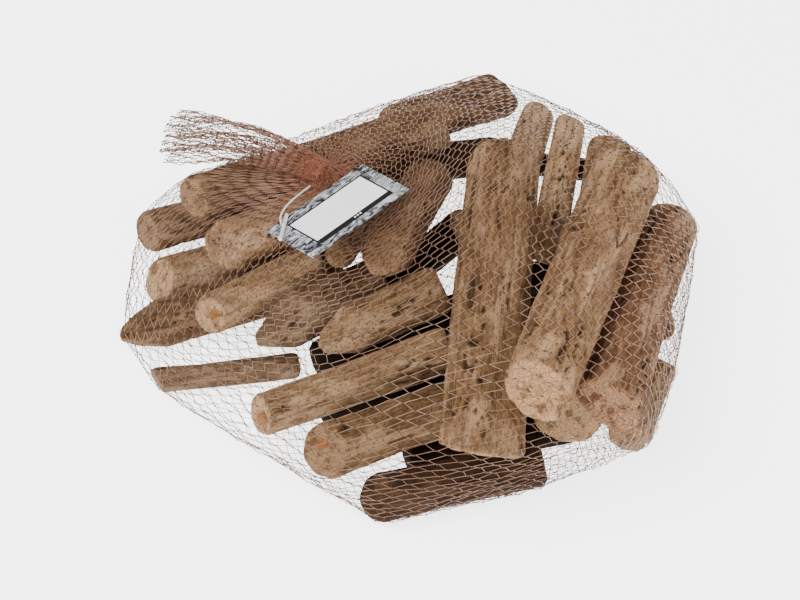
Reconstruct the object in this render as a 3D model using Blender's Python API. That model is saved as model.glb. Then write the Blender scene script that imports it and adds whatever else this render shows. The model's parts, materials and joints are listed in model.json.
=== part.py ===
"""A net bag of short weathered sticks, tied at the neck, with a card tag on a plastic pin.

Metres, +Z up. The bag lies on the plane z = 0, and the origin is the middle of its box there.
The working below is in millimetres, and MM turns it into metres where a mesh is made.
"""

import math
from collections import namedtuple
from itertools import product

import bmesh
import bpy
import numpy as np
from mathutils import Vector
from mathutils.bvhtree import BVHTree

MM = 0.001

# The view that the sticks were measured in: looking along +Y and down
VIEW_ELEVATION = math.radians(52)
VIEW_DISTANCE = 1250.0
VIEW_CENTRE = np.array([0.0, 0.0, 48.0])
RIGHT = np.array([1.0, 0.0, 0.0])
UP = np.array([0.0, math.sin(VIEW_ELEVATION), math.cos(VIEW_ELEVATION)])
TOWARD = np.cross(RIGHT, UP)
DOWN = np.array([0.0, 0.0, -1.0])

# Sticks
SIDES = 8
OVAL = 0.025
KNOBBLE = 0.02
CLEARANCE = 1.0  # between two sticks
FLOOR_CLEARANCE = 2.3  # the net lies below the lowest sticks
LAYER_DEPTH = 42.0  # how far apart the layers start, along the view
LAYER_START = -30.0  # the back layer, toward the viewer
SETTLE_STEPS = 500  # first the sticks slide back along the view
SETTLE_STEP = 0.35 * (0.35 * DOWN - 0.75 * TOWARD)
SETTLE_HOLD = 0.25  # how firmly they keep their places in the view
REST_STEPS = 400  # then they sink onto each other
REST_STEP = 0.25 * DOWN
REST_HOLD = 0.08
PASSES = 6  # of moving the sticks apart, in each step
EASE = 0.8  # the share of an overlap that a pass takes away
END_INSET = 0.45  # of half a width, where a stick's round end begins
LEVER_LEAST = 0.05
MIDDLE_RINGS = (0.36, 0.66)  # along a stick
SHOULDER = 0.35  # of an end's rounding, where its second ring lies
LEAN_BACK = 0.7  # how far a cut's deepest side lies behind the stick's end
BOW = 0.6

# Net
STRAND = 1.2
NET_COLUMNS = 18
NET_ROWS = 13
TAIL_ROWS = 5
FOOT = 0.3  # the first row of knots, in rows from the closed foot
NET_MARGIN = 4.0  # from the hull of the sticks to the knots
NET_CLEARANCE = 1.6  # from the hull of the sticks to a strand's middle, at least
STRAND_SAMPLES = 9
FINE_TURNS = 120
FINE_POLARS = 60
HOLD_STEPS = 30  # how often the strands are held off the sticks
NECK = np.array([-40.0, 56.0, 86.0])
NECK_RADIUS = 12.0
TAIL_TIP = np.array([-119.0, 93.0, 72.0])
TAIL_WIDTH = 30.0
TAIL_THICKNESS = 20.0
TAIL_ARCH = 8.0
TAIL_FLARE = 0.8  # under 1, it widens soon after the neck

# Tag and its pin
TAG_LENGTH = 66.0
TAG_WIDTH = 33.0
TAG_THICKNESS = 0.7
TAG_PLACE = np.array([-30.0, 21.0, 0.0])
TAG_TURN = math.radians(45.5)
TAG_DIP = math.radians(4)  # how far its right end hangs
TAG_LEAN = math.radians(12)  # how far its front edge is raised
HOLE_RADIUS = 1.4
TOUCH_GAP = 0.3
DROP_HEIGHT = 300.0  # above everything, where the tag comes down from
TAG_GAP = 1.4
PIN_INSET = 6.0
PIN_FILAMENT = 0.9
PIN_BAR = 1.9
PIN_BAR_LENGTH = 19.0
PIN_STUB = 1.2  # how far it reaches below the middle of the tag
PIN_RISE = 4.0
PIN_SWING = 9.0
PIN_SLANT = 0.75  # across the tag, for each part along it
PIN_STEPS = 9

Stick = namedtuple("Stick", "name near far wide flat layer cut_near cut_far colour")
End = namedtuple("End", "face length lean_wide lean_deep")

# An end's face as a share of the width, how long it rounds, and which way it is cut
WORN = End(0.84, 0.28, 0.0, 0.1)

# Ends across and up in the view, widths at the two ends, thickness as a share of the width,
# and the layer, 0 at the back
STICKS = [
    Stick("core_left_stick", (-88, 30), (10, 50), (24, 23), 0.9, 0.0, WORN, WORN, "mid"),
    Stick("core_back_stick", (-50, 58), (52, 78), (23, 23), 0.9, 0.0, WORN, WORN, "mid"),
    Stick("core_right_stick", (50, 38), (136, 33), (23, 22), 0.9, 0.0, WORN, WORN, "mid"),
    Stick("core_middle_stick", (20, -12), (120, -12), (23, 22), 0.9, 0.0, WORN, WORN, "mid"),
    Stick("core_front_stick", (28, -34), (120, -40), (23, 22), 0.9, 0.0, WORN, WORN, "mid"),
    Stick("core_low_stick", (-42, -50), (50, -36), (25, 23), 0.9, 0.0, WORN, WORN, "dark"),
    Stick("core_lowest_stick", (2, -76), (90, -62), (22, 22), 0.9, 0.0, WORN, WORN, "dark"),
    Stick("core_inner_stick", (-46, -24), (40, 4), (23, 23), 0.9, 0.3, WORN, WORN, "dark"),
    Stick("core_upper_stick", (-20, 4), (36, 42), (22, 22), 0.9, 0.6, WORN, WORN, "dark"),
    Stick("core_far_stick", (60, 72), (104, 66), (13, 12), 0.9, 0.0, WORN, WORN, "dark"),
    Stick("core_between_stick", (32, 14), (128, 12), (20, 19), 0.9, 0.0, WORN, WORN, "dark"),
    Stick("front_floor_stick", (-18, -97), (72, -74), (27, 24), 0.9, 0.5,
          End(0.8, 0.35, 0.1, 0.6), WORN, "dark"),
    Stick("front_thick_stick", (-44, -76), (38, -50), (30, 29), 0.85, 1.3,
          End(0.87, 0.25, 0.1, 0.6), WORN, "mid"),
    Stick("thin_left_stick", (-124, -38), (-50, -30), (14, 14), 0.9, 0.3,
          End(0.8, 0.4, -0.4, 0.2), WORN, "grey"),
    Stick("pointed_left_stick", (-140, -14), (-27, 19), (27, 27), 0.9, 0.9,
          End(0.3, 1.5, 0.1, 0.3), WORN, "mid"),
    Stick("left_low_stick", (-127, 15), (-50, 38), (27, 27), 0.88, 0.6,
          End(0.85, 0.3, 0.25, 0.5), WORN, "pale"),
    Stick("left_upper_stick", (-129, 31), (-50, 59), (23, 23), 0.9, 1.2,
          End(0.85, 0.28, 0.0, 0.5), WORN, "mid"),
    Stick("long_top_stick", (-107, 51), (23, 92), (25, 29), 0.88, 1.8,
          End(0.85, 0.28, -0.1, 0.45), WORN, "mid"),
    Stick("back_end_stick", (-4, 80), (57, 101), (27, 29), 0.88, 1.3,
          WORN, End(0.7, 0.5, 0.5, 0.1), "dark"),
    Stick("broad_floor_stick", (84, -62), (96, 2), (38, 34), 0.75, 1.0,
          End(0.86, 0.25, 0.1, 0.35), WORN, "pale"),
    Stick("right_floor_stick", (112, -70), (126, -22), (24, 22), 0.9, 0.6,
          End(0.82, 0.35, 0.0, 0.5), WORN, "mid"),
    Stick("hollow_end_stick", (-74, -54), (26, -19), (23, 24), 0.9, 1.5,
          End(0.86, 0.25, 0.1, 0.45), WORN, "pale"),
    Stick("pale_end_stick", (-99, -8), (-35, 15), (22, 23), 0.9, 1.8,
          End(0.85, 0.28, 0.0, 0.6), WORN, "pale"),
    Stick("wedge_stick", (-71, -12), (-11, 20), (30, 28), 0.8, 2.2,
          End(0.45, 0.9, 0.5, 0.8), WORN, "grey"),
    Stick("slant_cut_stick", (-42, -14), (21, 13), (27, 27), 0.8, 2.4,
          End(0.5, 0.9, 0.1, 0.8), WORN, "pale"),
    Stick("short_cross_stick", (23, 41), (62, 55), (19, 19), 0.9, 2.0,
          End(0.75, 0.4, 0.0, 0.4), WORN, "mid"),
    Stick("small_tan_stick", (-56, 27), (-30, 48), (15, 15), 0.9, 2.0,
          End(0.75, 0.4, 0.0, 0.5), WORN, "pale"),
    Stick("round_end_stick", (-96, 25), (-27, 55), (29, 28), 0.88, 2.6,
          End(0.84, 0.3, 0.0, 0.85), WORN, "pale"),
    Stick("small_round_stick", (-30, 20), (-16, 52), (17, 17), 0.9, 2.4,
          End(0.75, 0.4, 0.0, 0.5), WORN, "mid"),
    Stick("stubby_stick", (-6, 17), (20, 63), (31, 27), 0.85, 3.0,
          End(0.55, 0.8, 0.0, 0.5), WORN, "mid"),
    Stick("right_short_stick", (137, -4), (100, -8), (18, 18), 0.9, 1.0,
          End(0.7, 0.5, 0.0, 0.2), WORN, "dark"),
    Stick("back_short_stick", (70, 98), (52, 40), (19, 25), 0.9, 1.6,
          End(0.7, 0.5, 0.3, 0.1), WORN, "pale"),
    Stick("knot_hole_stick", (103, 81), (91, 8), (26, 29), 0.8, 1.7,
          End(0.8, 0.3, 0.0, 0.1), WORN, "mid"),
    Stick("pale_split_stick", (84, 94), (77, 22), (18, 22), 0.6, 2.2,
          End(0.6, 0.6, 0.2, 0.1), WORN, "pale"),
    Stick("big_front_stick", (41, -79), (53, 78), (45, 41), 0.72, 3.3,
          End(0.92, 0.16, 0.05, -0.44), End(0.74, 0.4, 0.0, -0.1), "mid"),
    Stick("right_long_stick", (103, -53), (134, 46), (35, 34), 0.85, 2.6,
          End(0.9, 0.16, 0.24, 0.05), End(0.7, 0.45, 0.0, 0.1), "red"),
    Stick("crossing_stick", (64, -46), (117, 66), (37, 40), 0.8, 3.6,
          End(0.9, 0.16, 0.14, 0.3), End(0.8, 0.3, 0.0, 0.0), "mid"),
]

WOOD = {
    "pale": (0.47, 0.33, 0.21),
    "mid": (0.33, 0.21, 0.12),
    "grey": (0.30, 0.21, 0.14),
    "dark": (0.19, 0.11, 0.065),
    "red": (0.30, 0.165, 0.10),
}


def clear_scene():
    for obj in list(bpy.data.objects):
        bpy.data.objects.remove(obj, do_unlink=True)


def material(name, colour, roughness, metallic=0.0):
    made = bpy.data.materials.new(name)
    made.use_nodes = True
    shader = made.node_tree.nodes["Principled BSDF"]
    shader.inputs["Base Color"].default_value = (*colour, 1.0)
    shader.inputs["Roughness"].default_value = roughness
    shader.inputs["Metallic"].default_value = metallic
    return made


def add_object(name, vertices, faces, finish):
    """A new mesh object from points in millimetres."""
    mesh = bpy.data.meshes.new(name)
    mesh.from_pydata([Vector(v) * MM for v in vertices], [], faces)
    mesh.update()
    obj = bpy.data.objects.new(name, mesh)
    bpy.context.scene.collection.objects.link(obj)
    obj.data.materials.append(finish)
    return obj


def unit(vectors):
    return vectors / np.linalg.norm(vectors, axis=-1, keepdims=True)


def seen_at(seen, toward):
    """The point in space seen at (across, up), this far toward the viewer."""
    nearer = (VIEW_DISTANCE - toward) / VIEW_DISTANCE
    across = (seen[..., 0] * nearer)[..., None] * RIGHT
    up = (seen[..., 1] * nearer)[..., None] * UP
    return VIEW_CENTRE + across + up + toward[..., None] * TOWARD


def cross_directions(ends):
    """Each stick's axis, its wide direction and its deep direction, away from the viewer."""
    axis = unit(ends[:, 1] - ends[:, 0])
    wide = unit(np.cross(axis, TOWARD))
    return axis, wide, np.cross(axis, wide)


def closest_shares(p1, q1, p2, q2):
    """How far along each of two segments their closest points lie, from 0 to 1."""
    d1 = q1 - p1
    d2 = q2 - p2
    gap = p1 - p2
    a = (d1 * d1).sum(-1)
    b = (d1 * d2).sum(-1)
    c = (d1 * gap).sum(-1)
    e = (d2 * d2).sum(-1)
    f = (d2 * gap).sum(-1)
    span = np.maximum(a * e - b * b, 1e-9)
    first = np.clip((b * f - c * e) / span, 0, 1)
    second = np.clip((b * first + f) / e, 0, 1)
    first = np.clip((b * second - c) / a, 0, 1)
    return first, second


def settled_ends(sticks):
    """Both ends of every stick, once the sticks are drawn down and moved apart until they rest.

    Each stick keeps its place in the view, and only slides along it.
    """
    seen = np.array([[s.near, s.far] for s in sticks], float)
    half = np.array([s.wide for s in sticks], float) / 2
    flat = np.array([s.flat for s in sticks])
    start = np.array([s.layer for s in sticks]) * LAYER_DEPTH + LAYER_START
    ends = seen_at(seen, start[:, None] + np.zeros((len(sticks), 2)))
    one, two = np.triu_indices(len(sticks), 1)
    inset = END_INSET * half
    for step in range(SETTLE_STEPS + REST_STEPS):
        resting = step >= SETTLE_STEPS
        ends = ends + (REST_STEP if resting else SETTLE_STEP)
        toward = (ends - VIEW_CENTRE) @ TOWARD
        hold = REST_HOLD if resting else SETTLE_HOLD
        ends = ends + hold * (seen_at(seen, toward) - ends)
        for _ in range(PASSES):
            axis, wide, deep = cross_directions(ends)
            p = ends[:, 0] + axis * inset[:, :1]
            q = ends[:, 1] - axis * inset[:, 1:]
            share_one, share_two = closest_shares(p[one], q[one], p[two], q[two])
            at_one = p[one] + (q[one] - p[one]) * share_one[:, None]
            at_two = p[two] + (q[two] - p[two]) * share_two[:, None]
            between = at_one - at_two
            distance = np.linalg.norm(between, axis=1)
            normal = between / np.maximum(distance, 1e-6)[:, None]
            needed = np.full(len(one), CLEARANCE)
            for index, share in ((one, share_one), (two, share_two)):
                reach = half[index, 0] * (1 - share) + half[index, 1] * share
                side = reach * (normal * wide[index]).sum(-1)
                depth = reach * flat[index] * (normal * deep[index]).sum(-1)
                along = END_INSET * reach * np.abs((normal * axis[index]).sum(-1))
                needed += np.hypot(side, depth) + along
            overlap = needed - distance
            touching = overlap > 0
            moved = np.zeros_like(ends)
            weight = np.zeros((len(sticks), 2))
            for index, share, sign in ((one, share_one, 0.5), (two, share_two, -0.5)):
                for which, pull_share in ((0, 1 - share), (1, share)):
                    lever = pull_share / (pull_share**2 + (1 - pull_share) ** 2)
                    push = normal * (overlap * sign * lever)[:, None]
                    np.add.at(moved, (index[touching], which), push[touching])
                    heavy = 0.5 * (pull_share[touching] > LEVER_LEAST)
                    np.add.at(weight, (index[touching], which), heavy)
            ends = ends + EASE * moved / np.maximum(1, weight)[..., None]
            side = half * np.abs(wide[:, 2])[:, None]
            depth = half * flat[:, None] * np.abs(deep[:, 2])[:, None]
            lowest = np.hypot(side, depth) + FLOOR_CLEARANCE
            ends[..., 2] = np.maximum(ends[..., 2], lowest)
    return np.round(ends, 1)


def stick_rings(stick, ends, wide, deep, seed):
    """The stick's cross-sections from end to end, each a ring of points, lumpy but never fatter."""
    rng = np.random.default_rng(seed)
    turns = np.arange(SIDES) * math.tau / SIDES
    bow = rng.uniform(-BOW, BOW, 2)
    phase = rng.uniform(0, math.tau, 2)
    length = np.linalg.norm(ends[1] - ends[0])
    axis = (ends[1] - ends[0]) / length
    rings = []

    def ring(along, size, face_share, outward, cut, radius):
        middle = ends[0] + axis * along
        share = along / length
        middle = middle + math.sin(math.pi * share) * (bow[0] * wide + bow[1] * deep)
        lump = 1 - OVAL - KNOBBLE + OVAL * np.cos(2 * turns + phase[0] + 2 * share)
        lump = lump + KNOBBLE * np.cos(3 * turns + phase[1] - 3 * share)
        radii = radius * size * lump
        lean = cut.lean_wide * np.cos(turns) + cut.lean_deep * np.sin(turns)
        lean = (lean - LEAN_BACK * math.hypot(cut.lean_wide, cut.lean_deep)) * radius * face_share
        across = (radii * np.cos(turns))[:, None] * wide
        down = (radii * np.sin(turns) * stick.flat)[:, None] * deep
        rings.append(middle + across + down + (outward * lean)[:, None] * axis)

    half = [w / 2 for w in stick.wide]
    near, far = stick.cut_near, stick.cut_far
    ring(0.0, near.face, 1.0, -1, near, half[0])
    ring(half[0] * near.length * SHOULDER, 0.5 + 0.5 * near.face, 0.85, -1, near, half[0])
    ring(half[0] * near.length, 1.0, 0.5, -1, near, half[0])
    for share in MIDDLE_RINGS:
        radius = half[0] + (half[1] - half[0]) * share
        ring(length * share, rng.uniform(0.95, 1.0), 0.0, 1, WORN, radius)
    ring(length - half[1] * far.length, 1.0, 0.5, 1, far, half[1])
    ring(length - half[1] * far.length * SHOULDER, 0.5 + 0.5 * far.face, 0.85, 1, far, half[1])
    ring(length, far.face, 1.0, 1, far, half[1])
    if stick.name.startswith("core_"):  # hardly seen, so it has plainer ends and a plain middle
        rings = [rings[0], rings[2], rings[5], rings[7]]
    return rings


def tube_faces(rings, sides):
    """Quads between rings of the same number of points, and a cap at each end, facing out."""
    faces = []
    for r in range(rings - 1):
        for i in range(sides):
            j = (i + 1) % sides
            faces.append((r * sides + i, r * sides + j, (r + 1) * sides + j, (r + 1) * sides + i))
    faces.append(tuple(reversed(range(sides))))
    faces.append(tuple((rings - 1) * sides + i for i in range(sides)))
    return faces


def make_facing_out(obj):
    shape = bmesh.new()
    shape.from_mesh(obj.data)
    bmesh.ops.recalc_face_normals(shape, faces=shape.faces)
    shape.to_mesh(obj.data)
    shape.free()


def smooth(obj, angle=50):
    obj.data.shade_smooth()
    obj.data.set_sharp_from_angle(angle=math.radians(angle))


def make_sticks():
    ends = settled_ends(STICKS)
    _, wide, deep = cross_directions(ends)
    finishes = {key: material("wood_" + key, colour, 0.85) for key, colour in WOOD.items()}
    made = []
    for number, stick in enumerate(STICKS):
        rings = stick_rings(stick, ends[number], wide[number], deep[number], number)
        vertices = np.concatenate(rings)
        obj = add_object(stick.name, vertices, tube_faces(len(rings), SIDES), finishes[stick.colour])
        make_facing_out(obj)
        smooth(obj)
        made.append(obj)
    return made


def joined_surface(objects):
    """The finished objects as one search tree of triangles, and their points, in millimetres."""
    bpy.context.view_layer.update()
    graph = bpy.context.evaluated_depsgraph_get()
    points = []
    triangles = []
    for obj in objects:
        finished = obj.evaluated_get(graph)
        mesh = finished.to_mesh()
        mesh.calc_loop_triangles()
        first = len(points)
        points += [obj.matrix_world @ v.co / MM for v in mesh.vertices]
        triangles += [[first + i for i in t.vertices] for t in mesh.loop_triangles]
        finished.to_mesh_clear()
    return BVHTree.FromPolygons(points, triangles), points


def convex_hull(points):
    shape = bmesh.new()
    for p in points:
        shape.verts.new(p)
    bmesh.ops.convex_hull(shape, input=shape.verts)
    return shape


def hull_trees(points):
    """Search trees of the convex hull of the points, bare and with a rounded margin around it."""
    bare = convex_hull(points)
    corners = [v.co.copy() for v in bare.verts if v.link_faces]
    steps = [Vector(s).normalized() * NET_MARGIN for s in product((-1, 0, 1), repeat=3) if any(s)]
    rounded = convex_hull([corner + step for corner in corners for step in steps])
    trees = [BVHTree.FromBMesh(shape) for shape in (bare, rounded)]
    bare.free()
    rounded.free()
    return trees


def axes_about(pole):
    """Two directions at right angles to the pole and to each other."""
    first = unit(np.cross(pole, [0.0, 0.0, 1.0]))
    return first, np.cross(pole, first)


def evenly_along(route, shares):
    """The points at these shares of a route's length."""
    lengths = np.linalg.norm(np.diff(route, axis=0), axis=1)
    along = np.concatenate([[0.0], np.cumsum(lengths)]) / lengths.sum()
    return np.stack([np.interp(shares, along, route[:, i]) for i in range(3)], axis=-1)


def net_points(outline, points):
    """The bag's knots, from its closed foot to its neck: rows of them, evenly spaced."""
    box = np.array(points)
    centre = (box.min(0) + box.max(0)) / 2
    pole = unit(NECK - centre)
    first, second = axes_about(pole)

    def on_bag(polar, turn):
        around = math.cos(turn) * first + math.sin(turn) * second
        ray = Vector(math.cos(polar) * pole + math.sin(polar) * around)
        return np.array(outline.ray_cast(Vector(centre), ray)[0])

    turns = np.linspace(0, math.tau, FINE_TURNS + 1)
    polars = np.linspace(math.pi, 0, FINE_POLARS)
    seams = np.array([[on_bag(polar, turn) for polar in polars] for turn in turns[:-1]])
    steps = np.linalg.norm(np.diff(seams, axis=1), axis=2).mean(0)
    risen = np.concatenate([[0.0], np.cumsum(steps)]) / steps.sum()
    rows = []
    for row in range(NET_ROWS + 1):
        polar = np.interp((row + FOOT) / (NET_ROWS + 1), risen, polars)
        ring = np.array([on_bag(polar, turn) for turn in turns])
        shares = (np.arange(NET_COLUMNS) + 0.5 * (row % 2)) / NET_COLUMNS
        rows.append(evenly_along(ring, shares))
    return np.array(rows), first, second


def tail_row(share, row, first, second):
    """One row of knots of the neck and the tail, a flattened tube that opens towards its tip."""
    along = unit(TAIL_TIP - NECK)
    side = unit(np.cross(TOWARD, along))
    lift = np.cross(along, side)
    blend = min(1.0, share * 2)
    middle = NECK + (TAIL_TIP - NECK) * share
    middle = middle + np.array([0.0, 0.0, TAIL_ARCH * math.sin(math.pi * share)])
    wide = NECK_RADIUS + (TAIL_WIDTH / 2 - NECK_RADIUS) * share**TAIL_FLARE
    deep = NECK_RADIUS + (TAIL_THICKNESS / 2 - NECK_RADIUS) * share
    ring = []
    for column in range(NET_COLUMNS):
        turn = (column + 0.5 * (row % 2)) * math.tau / NET_COLUMNS
        around = math.cos(turn) * first + math.sin(turn) * second
        around = unit(around - blend * np.dot(around, along) * along)
        reach = 1 + (wide - NECK_RADIUS) / NECK_RADIUS * np.dot(around, side) ** 2
        reach = reach + (deep - NECK_RADIUS) / NECK_RADIUS * np.dot(around, lift) ** 2
        ring.append(middle + NECK_RADIUS * reach * around)
    return ring


def strands(rows):
    """The two strands that rise from each knot: the knots below and above, by row and column."""
    pairs = []
    for row in range(rows - 1):
        for column in range(NET_COLUMNS):
            other = (column + (1 if row % 2 else -1)) % NET_COLUMNS
            pairs.append(((row, column), (row + 1, column)))
            pairs.append(((row, column), (row + 1, other)))
    return np.array([a for a, _ in pairs]), np.array([b for _, b in pairs])


def held_off(knots, hull):
    """Every strand is held clear of the hull of the sticks."""
    one, two = strands(len(knots))
    for _ in range(HOLD_STEPS):
        a = knots[one[:, 0], one[:, 1]]
        b = knots[two[:, 0], two[:, 1]]
        push = np.zeros_like(knots)
        pushes = np.zeros(knots.shape[:2])
        for share in np.linspace(0, 1, STRAND_SAMPLES):
            for n, point in enumerate(a + (b - a) * share):
                found, normal, _, _ = hull.find_nearest(Vector(point))
                height = (Vector(point) - found).dot(normal)
                if height >= NET_CLEARANCE:
                    continue
                move = np.array(normal) * (NET_CLEARANCE - height)
                for (r, c), weight in ((one[n], 1 - share), (two[n], share)):
                    push[r, c] += move * weight
                    pushes[r, c] += weight
        knots = knots + push / np.maximum(1, pushes)[..., None]
        knots[..., 2] = np.maximum(knots[..., 2], STRAND / 2)
    return knots


def make_net(sticks):
    _, points = joined_surface(sticks)
    hull, rounded = hull_trees(points)
    rows, first, second = net_points(rounded, points)
    tail = [
        tail_row(k / TAIL_ROWS, NET_ROWS + 1 + k, first, second) for k in range(TAIL_ROWS + 1)
    ]
    bag = held_off(np.concatenate([rows, tail[:1]]), hull)
    knots = np.concatenate([bag, tail[1:]])
    faces = []
    for row in range(1, len(knots) - 1):
        for column in range(NET_COLUMNS):
            left = (column + (0 if row % 2 else -1)) % NET_COLUMNS
            right = (left + 1) % NET_COLUMNS
            middle = right if row % 2 else left
            faces.append(
                (
                    (row - 1) * NET_COLUMNS + middle,
                    row * NET_COLUMNS + right,
                    (row + 1) * NET_COLUMNS + middle,
                    row * NET_COLUMNS + left,
                )
            )
    net = add_object(
        "net_bag", knots.reshape(-1, 3), faces, material("net_plastic", (0.28, 0.12, 0.06), 0.4)
    )
    make_facing_out(net)
    wire = net.modifiers.new("strands", "WIREFRAME")
    wire.thickness = STRAND * MM
    wire.use_even_offset = False
    wire.use_boundary = True
    wire.use_replace = True
    return net


def tag_axes():
    """The tag's long direction, its short direction towards the neck, and its upper face's."""
    length = unit(np.array([math.cos(TAG_TURN), math.sin(TAG_TURN), -math.tan(TAG_DIP)]))
    width = np.array([-math.sin(TAG_TURN), math.cos(TAG_TURN), -math.tan(TAG_LEAN)])
    width = unit(width - length * np.dot(width, length))
    return length, width, np.cross(length, width)


def pin_hole(centre):
    length, width, _ = tag_axes()
    return centre - length * (TAG_LENGTH / 2 - PIN_INSET) + width * (TAG_WIDTH / 2 - PIN_INSET)


def tube(name, route, radius, sides, finish):
    """A closed tube of one thickness along the points of a route."""
    route = np.array(route)
    along = unit(np.gradient(route, axis=0))
    helper = [1.0, 0.0, 0.0] if abs(along[0][0]) < 0.9 else [0.0, 1.0, 0.0]
    side = unit(np.cross(along[0], helper))
    turns = np.arange(sides) * math.tau / sides
    rings = []
    for middle, axis in zip(route, along):
        side = unit(side - axis * np.dot(side, axis))
        other = np.cross(axis, side)
        ring = np.cos(turns)[:, None] * side + np.sin(turns)[:, None] * other
        rings.append(middle + radius * ring)
    obj = add_object(name, np.concatenate(rings), tube_faces(len(rings), sides), finish)
    make_facing_out(obj)
    return obj


def hidden(obj):
    obj.hide_render = True
    obj.display_type = "WIRE"
    return obj


def tag_centre(beneath):
    """The tag is lowered until it meets the first thing under it."""
    length, width, up = tag_axes()
    lift = 0.0
    for x in np.linspace(-0.5, 0.5, 45):
        for y in np.linspace(-0.5, 0.5, 23):
            place = TAG_PLACE + x * TAG_LENGTH * length + y * TAG_WIDTH * width
            hit = beneath.ray_cast(Vector((place[0], place[1], DROP_HEIGHT)), Vector((0, 0, -1)))[0]
            if hit:
                lift = max(lift, hit.z - place[2])
    return TAG_PLACE + np.array([0.0, 0.0, lift]) + (TAG_GAP + TAG_THICKNESS / 2) * up


def make_tag(centre):
    length, width, up = tag_axes()
    corners = []
    for z in (-0.5, 0.5):
        for x, y in ((-0.5, -0.5), (0.5, -0.5), (0.5, 0.5), (-0.5, 0.5)):
            corner = centre + x * TAG_LENGTH * length + y * TAG_WIDTH * width
            corners.append(corner + z * TAG_THICKNESS * up)
    faces = [(3, 2, 1, 0), (4, 5, 6, 7)]
    faces += [(i, (i + 1) % 4, 4 + (i + 1) % 4, 4 + i) for i in range(4)]
    finish = material("card", (0.75, 0.74, 0.71), 0.5)
    tag = add_object("tag", corners, faces, finish)
    hole = pin_hole(centre)
    cutter = hidden(tube("tag_hole", [hole - 4 * up, hole + 4 * up], HOLE_RADIUS, 12, finish))
    cut = tag.modifiers.new("pin hole", "BOOLEAN")
    cut.operation = "DIFFERENCE"
    cut.object = cutter
    return tag


def make_pin(centre):
    """A clear pin: a filament from the neck to a bar on the tag, and a stub down its hole."""
    length, width, up = tag_axes()
    finish = material("pin_plastic", (0.8, 0.8, 0.78), 0.25)
    hole = pin_hole(centre)
    rest = hole + up * (TAG_THICKNESS / 2 + TOUCH_GAP + PIN_BAR / 2)
    half_bar = unit(-length - PIN_SLANT * width) * PIN_BAR_LENGTH / 2
    pin = tube("tag_pin", [rest - half_bar, rest, rest + half_bar], PIN_BAR / 2, 8, finish)
    start = NECK + unit(rest - NECK) * (NECK_RADIUS + 2 * STRAND)
    top = rest + PIN_RISE * up + PIN_SWING * width
    filament = [
        (1 - t) ** 2 * start + 2 * t * (1 - t) * top + t**2 * rest for t in np.linspace(0, 1, PIN_STEPS)
    ]
    added = [
        tube("pin_filament", filament, PIN_FILAMENT / 2, 6, finish),
        tube("pin_stub", [rest, hole - PIN_STUB * up], PIN_FILAMENT / 2, 6, finish),
    ]
    for obj in added:
        join = pin.modifiers.new(obj.name, "BOOLEAN")
        join.operation = "UNION"
        join.object = hidden(obj)
    return pin


def centre_on_origin(objects):
    """The middle of the box goes over the origin, and its lowest point onto z = 0."""
    box = np.array(joined_surface(objects)[1]) * MM
    low, high = box.min(0), box.max(0)
    shift = Vector((-(low[0] + high[0]) / 2, -(low[1] + high[1]) / 2, -low[2]))
    for obj in bpy.data.objects:
        obj.location = obj.location + shift


def main():
    clear_scene()
    sticks = make_sticks()
    net = make_net(sticks)
    beneath, _ = joined_surface([*sticks, net])
    centre = tag_centre(beneath)
    tag = make_tag(centre)
    pin = make_pin(centre)
    centre_on_origin([*sticks, net, tag, pin])


main()
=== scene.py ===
"""A net bag of short weathered sticks with a card tag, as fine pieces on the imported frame."""

import json
import math

import bmesh
import bpy
import numpy as np
from mathutils import Matrix, Vector
from mathutils.bvhtree import BVHTree


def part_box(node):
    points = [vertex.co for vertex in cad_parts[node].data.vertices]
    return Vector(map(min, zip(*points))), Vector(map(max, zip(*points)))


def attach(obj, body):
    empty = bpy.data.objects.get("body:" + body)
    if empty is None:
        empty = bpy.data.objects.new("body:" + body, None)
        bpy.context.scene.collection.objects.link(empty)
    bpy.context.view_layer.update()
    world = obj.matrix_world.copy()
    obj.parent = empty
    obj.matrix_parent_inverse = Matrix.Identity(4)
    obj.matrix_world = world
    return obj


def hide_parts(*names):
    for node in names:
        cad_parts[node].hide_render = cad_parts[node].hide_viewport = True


MM = 0.001
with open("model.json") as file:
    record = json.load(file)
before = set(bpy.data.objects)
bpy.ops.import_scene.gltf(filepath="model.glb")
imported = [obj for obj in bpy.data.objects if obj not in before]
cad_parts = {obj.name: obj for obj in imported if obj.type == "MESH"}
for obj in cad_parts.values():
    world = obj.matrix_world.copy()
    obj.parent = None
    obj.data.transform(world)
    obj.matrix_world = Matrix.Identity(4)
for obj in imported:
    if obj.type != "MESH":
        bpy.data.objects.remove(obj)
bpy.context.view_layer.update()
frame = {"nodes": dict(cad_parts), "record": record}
nodes = frame["nodes"]

# The photo's view, looking along +Y and down, and the point it was measured about
VIEW_ELEVATION = math.radians(52)
VIEW_DISTANCE = 1250.0
VIEW_SHIFT = np.array([-3.016, -33.497, 0.0])
VIEW_CENTRE = np.array([0.0, 0.0, 48.0]) + VIEW_SHIFT
LENS = 112.5
SENSOR = 36.0
AIM_RISE = 2.5
RIGHT = np.array([1.0, 0.0, 0.0])
UP = np.array([0.0, math.sin(VIEW_ELEVATION), math.cos(VIEW_ELEVATION)])
TOWARD = np.cross(RIGHT, UP)

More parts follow.
